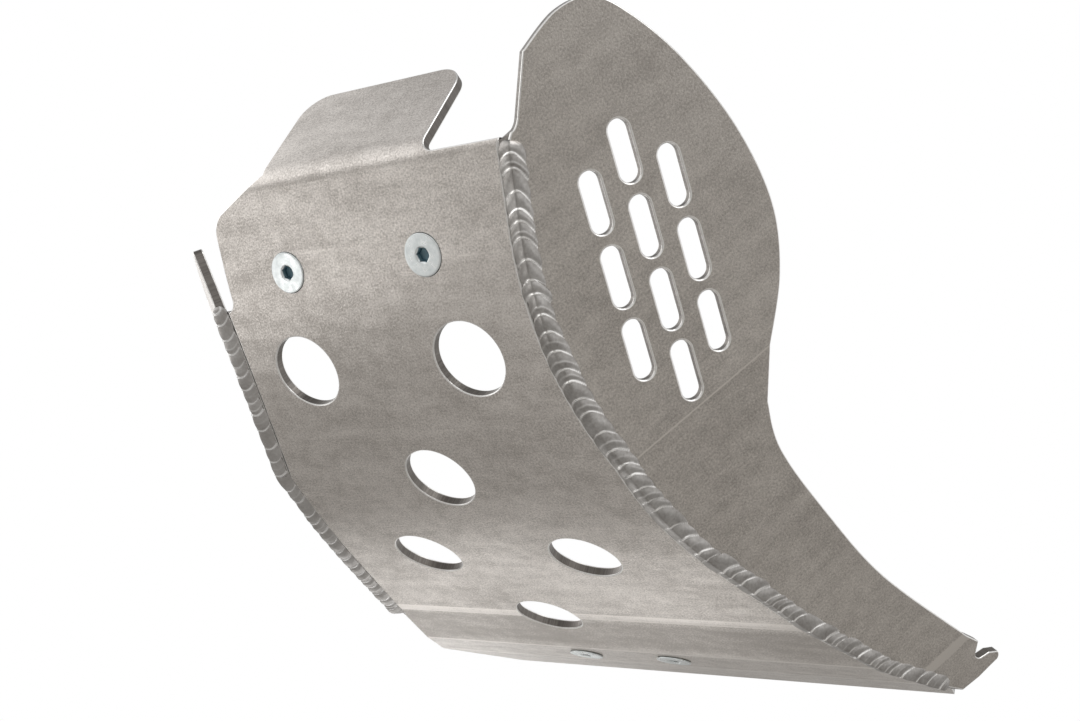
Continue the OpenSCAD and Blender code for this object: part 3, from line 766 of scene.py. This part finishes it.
# ---------------------------------------------------------------------------
# Screws. Two pairs of M8 countersunk screws with 5 mm hexagon sockets: cold
# formed, rolled thread, bright zinc plated with a faint blue passivation. The
# heads stand a little proud of the plate and carry no marks.

HEAD, THREAD, PITCH, SOCKET, SOCKET_DEPTH = 8.0, 4.0, 1.25, 2.5, 2.8
SIDES = 72


def screw_points(length):
    """A screw as rings round its axis, from the middle of the socket's floor out over the head
    and down the shank. In the socket a ring's radius is 2.5/cos(a) with a from the nearest flat;
    on the thread it is the core radius plus 0.6 mm times a triangle wave of z/pitch - angle."""
    angle = np.arange(SIDES) * 2 * math.pi / SIDES
    hexagon = SOCKET / np.cos((angle + math.pi / 6) % (math.pi / 3) - math.pi / 6)
    circle = np.ones(SIDES)
    rings = [(0.05 * circle, -SOCKET_DEPTH - 0.5)]
    rings += [(hexagon * k, -SOCKET_DEPTH - 0.5 * (1 - k)) for k in (0.5, 0.97)]
    rings += [(hexagon, z) for z in (-SOCKET_DEPTH + 0.1, -1.4, -0.42)]
    rings += [(0.5 * hexagon + 0.5 * 3.05 * circle, -0.2), (3.05 * circle, -0.04), (3.15 * circle, 0.0)]
    rings += [(r * circle, 0.0) for r in (3.4, 4.5, 5.5, 6.5, 7.3, 7.68)]
    rings += [(7.8 * circle, -0.03), (7.9 * circle, -0.09), (HEAD * circle - 0.02, -0.2),
              (HEAD * circle, -HEAD_RIM), (7.9 * circle, -0.62)]
    rings += [(r * circle, -HEAD_RIM - (HEAD - r)) for r in (7.0, 5.5, 4.3)]
    rings += [(THREAD * circle, -4.7), (THREAD * circle, -5.4)]
    for z in np.arange(-5.6, -length + 0.9, -PITCH / 8):
        wave = np.abs(((z / PITCH - angle / (2 * math.pi)) % 1) * 2 - 1)
        fade = min(1.0, (-5.6 - z) / 1.2)
        rings.append((THREAD - 0.62 * fade * np.clip(1.15 * wave, 0, 1), z))
    rings += [(THREAD * circle - 0.75, -length + 0.55), (3.0 * circle, -length + 0.02),
              (2.9 * circle, -length), (0.05 * circle, -length)]
    r = np.stack([np.broadcast_to(v[0], SIDES) for v in rings])
    z = np.repeat(np.array([v[1] for v in rings])[:, None], SIDES, axis=1)
    return np.stack([r * np.cos(angle), r * np.sin(angle), z], -1), r


def screws(name, pair, length):
    """A pair of screws, each turned a little and laid on the plate with its Z out of the outer
    face. The UV map holds the depth below the head's face and the radius."""
    shape, radius = screw_points(length)
    count = len(shape)
    points, faces, polar = [], [], []
    y, z, lean = (float(v[0]) for v in plate_section(np.array([FRONT_ROW + pair["row"]])))
    out = np.array([0, -math.cos(lean), -math.sin(lean)])
    up = np.array([0, -math.sin(lean), math.cos(lean)])
    i, j = np.meshgrid(np.arange(count - 1), np.arange(SIDES), indexing="ij")
    a, b = i * SIDES + j, i * SIDES + (j + 1) % SIDES
    walls, floor, tip = np.stack([a, b, b + SIDES, a + SIDES], -1), np.arange(SIDES), (count - 1) * SIDES
    for k, (side, spin) in enumerate(((-1, 8), (1, 21))):
        s = math.radians(spin)
        flat = np.stack([shape[..., 0] * math.cos(s) - shape[..., 1] * math.sin(s),
                         shape[..., 0] * math.sin(s) + shape[..., 1] * math.cos(s), shape[..., 2]], -1)
        at = np.array([side * pair["spacing"] / 2, y, z]) + pair["proud"] * out
        laid = at + flat[..., :1] * (1, 0, 0) + flat[..., 1:2] * up + flat[..., 2:] * out
        points.append(laid.reshape(-1, 3))
        polar.append(np.stack([-shape[..., 2] * 0.001, radius * 0.001], -1).reshape(-1, 2))
        first = k * count * SIDES
        faces += (walls + first).reshape(-1, 4).tolist()
        faces += [(floor + first).tolist(), (floor + tip + first).tolist()]
    mesh = bpy.data.meshes.new(name)
    mesh.from_pydata((np.concatenate(points) * 0.001).tolist(), [], faces)
    outward(mesh)
    mesh.uv_layers.new(name="turned").data.foreach_set("uv", at_corners(mesh, np.concatenate(polar)))
    mesh.polygons.foreach_set("use_smooth", np.ones(len(mesh.polygons), bool))
    mesh.set_sharp_from_angle(angle=math.radians(28))
    return shown(name, mesh)


def zinc_plate():
    """Bright zinc plate with a clear blue passivation on cold-formed steel: pale and bluish, with faint
    turned rings on the head's face. The socket is painted a darker bluish grey as shade, most from 2.4 mm
    down."""
    made, tree, output = new_material("bright_zinc_plated_steel")
    place = node(tree, "TexCoord").outputs["Object"]
    polar = node(tree, "SeparateXYZ", {0: node(tree, "UVMap", uv_map="turned").outputs[0]})
    rings = node(tree, "CombineXYZ", {0: polar.outputs[1]})
    ring = node(tree, "TexNoise", {"Vector": rings.outputs[0], "Scale": 4200.0, "Detail": 2.0})
    cloud = node(tree, "TexNoise", {"Vector": place, "Scale": 420.0, "Detail": 4.0, "Roughness": 0.6})
    level = node(tree, "Math", {0: ring.outputs[0], 1: 0.35, 2: cloud.outputs[0]}, operation="MULTIPLY_ADD")
    even = node(tree, "MapRange", {"Value": level.outputs[0], "From Min": 0.45, "From Max": 0.9})
    tone = node(tree, "Mix", {0: even.outputs[0], 6: linear("#DDE3E3"), 7: linear("#F6F9F9")},
                data_type="RGBA")
    # Painted shade in the socket: within about 3 mm of the axis, from 0.4 mm to 4.4 mm below the head's face.
    deep = node(tree, "MapRange", {"Value": polar.outputs[0], "From Min": 0.0004, "From Max": 0.0024})
    inner = node(tree, "MapRange", {"Value": polar.outputs[1], "From Min": 0.0031, "From Max": 0.0029})
    upper = node(tree, "MapRange", {"Value": polar.outputs[0], "From Min": 0.0044, "From Max": 0.004})
    shade = node(tree, "Math", {0: deep.outputs[0], 1: inner.outputs[0]}, operation="MULTIPLY")
    shade = node(tree, "Math", {0: shade.outputs[0], 1: upper.outputs[0]}, operation="MULTIPLY")
    tone = node(tree, "Mix", {0: shade.outputs[0], 6: tone.outputs[2], 7: linear("#758D97")},
                data_type="RGBA")
    gloss = node(tree, "MapRange", {"Value": even.outputs[0], "To Min": 0.36, "To Max": 0.24})
    bump = node(tree, "Bump", {"Height": ring.outputs[0], "Strength": 0.25, "Distance": 0.00003})
    shader = node(tree, "BsdfPrincipled", {"Base Color": tone.outputs[2], "Roughness": gloss.outputs[0],
                                           "Metallic": 1.0, "Normal": bump.outputs[0]})
    tree.links.new(shader.outputs[0], output.inputs[0])
    return made


zinc = zinc_plate()
for name, pair, length in (("front_screws", FRONT_SCREWS, 25.0), ("lower_screws", LOWER_SCREWS, 20.0)):
    pieces = screws(name + "_zinc", pair, length)
    pieces.data.materials.append(zinc)
    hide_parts(name)
    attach(pieces, "root")


# ---------------------------------------------------------------------------
# Studio. A pale matt floor 0.3 m below the plate's underside, one large soft
# light above, four low ones that lie on the floor, and a white surround.

FLOOR, FLOOR_RADIUS = -0.3, 7.0
floor_mesh = bpy.data.meshes.new("studio_floor")
floor_mesh.from_pydata([(FLOOR_RADIUS * math.cos(a), FLOOR_RADIUS * math.sin(a), FLOOR)
                        for a in np.linspace(0, 2 * math.pi, 128, False)], [], [tuple(range(128))])
floor = shown("studio_floor", floor_mesh)
paint, tree, output = new_material("pale_studio_floor")
shader = node(tree, "BsdfPrincipled", {"Base Color": linear("#D0CECB"), "Roughness": 0.9})
tree.links.new(shader.outputs[0], output.inputs[0])
floor_mesh.materials.append(paint)
floor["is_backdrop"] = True

low = FLOOR + 0.015
for name, place, aim, size, power in (
        ("right_soft_light", (1.1, -0.5, 1.25), (0.1, -0.2, 0), 1.1, 9.0),
        ("front_floor_light", (-0.8, -0.7, low), (-0.8, -0.69, 1), 0.55, 1.15),
        ("left_floor_light", (-0.4, 0.18, low), (-0.4, 0.19, 1), 0.22, 0.15),
        ("middle_floor_light", (-0.18, 0.19, low), (-0.18, 0.2, 1), 0.16, 0.075),
        ("rear_floor_light", (-1.0, 0.95, low), (-1.0, 0.96, 1), 0.6, 2.2)):
    lamp = bpy.data.lights.new(name, "AREA")
    lamp.shape, lamp.size, lamp.energy = "SQUARE", size, power
    holder = shown(name, lamp)
    holder.visible_camera = False
    back = np.array(place) - np.array(aim)
    back /= np.linalg.norm(back)
    right = np.cross((0, 0, 1), back)
    right /= np.linalg.norm(right)
    turn = np.eye(4)
    turn[:3, 0], turn[:3, 1], turn[:3, 2], turn[:3, 3] = right, np.cross(back, right), back, place
    holder.matrix_world = Matrix(turn.tolist())

world = bpy.data.worlds.new("white_surround")
world.use_nodes = True
tree = world.node_tree
tree.nodes.clear()
ray = node(tree, "LightPath")
way = node(tree, "SeparateXYZ", {0: node(tree, "TexCoord").outputs["Generated"]})
ceiling = node(tree, "MapRange", {"Value": way.outputs[2], "From Min": 0.1, "From Max": 0.8,
                                  "To Min": 1.0, "To Max": 0.45})
left = node(tree, "MapRange", {"Value": way.outputs[0], "From Min": -0.5, "From Max": -0.95,
                               "To Min": 0.0, "To Max": 0.9}, interpolation_type="SMOOTHSTEP")
soft = node(tree, "Math", {0: ceiling.outputs[0], 1: left.outputs[0]})
shiny = node(tree, "Mix", {0: ray.outputs["Is Glossy Ray"], 2: 0.5, 3: soft.outputs[0]})
seen = node(tree, "Math", {0: ray.outputs["Is Camera Ray"], 1: ray.outputs["Is Transmission Ray"]},
            operation="MAXIMUM")
level = node(tree, "Mix", {0: seen.outputs[0], 2: shiny.outputs[0], 3: 1.0})
glow = node(tree, "Background", {"Color": (1, 1, 1, 1), "Strength": level.outputs[0]})
tree.links.new(glow.outputs[0], node(tree, "OutputWorld").inputs[0])
bpy.context.scene.world = world
bpy.context.scene.view_settings.view_transform = "Standard"

# The camera looks slightly up at the plate from the front left.
EYE = (0.34228, -0.61145, -0.03866)
EYE_RIGHT, EYE_UP = (0.82095, 0.56012, 0.11088), (0.05914, -0.27657, 0.95917)
EYE_BACK = (0.56792, -0.78088, -0.26018)
camera = bpy.data.cameras.new("camera")
camera.sensor_width, camera.lens, camera.clip_start = 36.0, 46.03, 0.01
view = shown("camera", camera)
eye = np.eye(4)
eye[:3, 0], eye[:3, 1], eye[:3, 2], eye[:3, 3] = EYE_RIGHT, EYE_UP, EYE_BACK, EYE
view.matrix_world = Matrix(eye.tolist())
bpy.context.scene.camera = view

low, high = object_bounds()
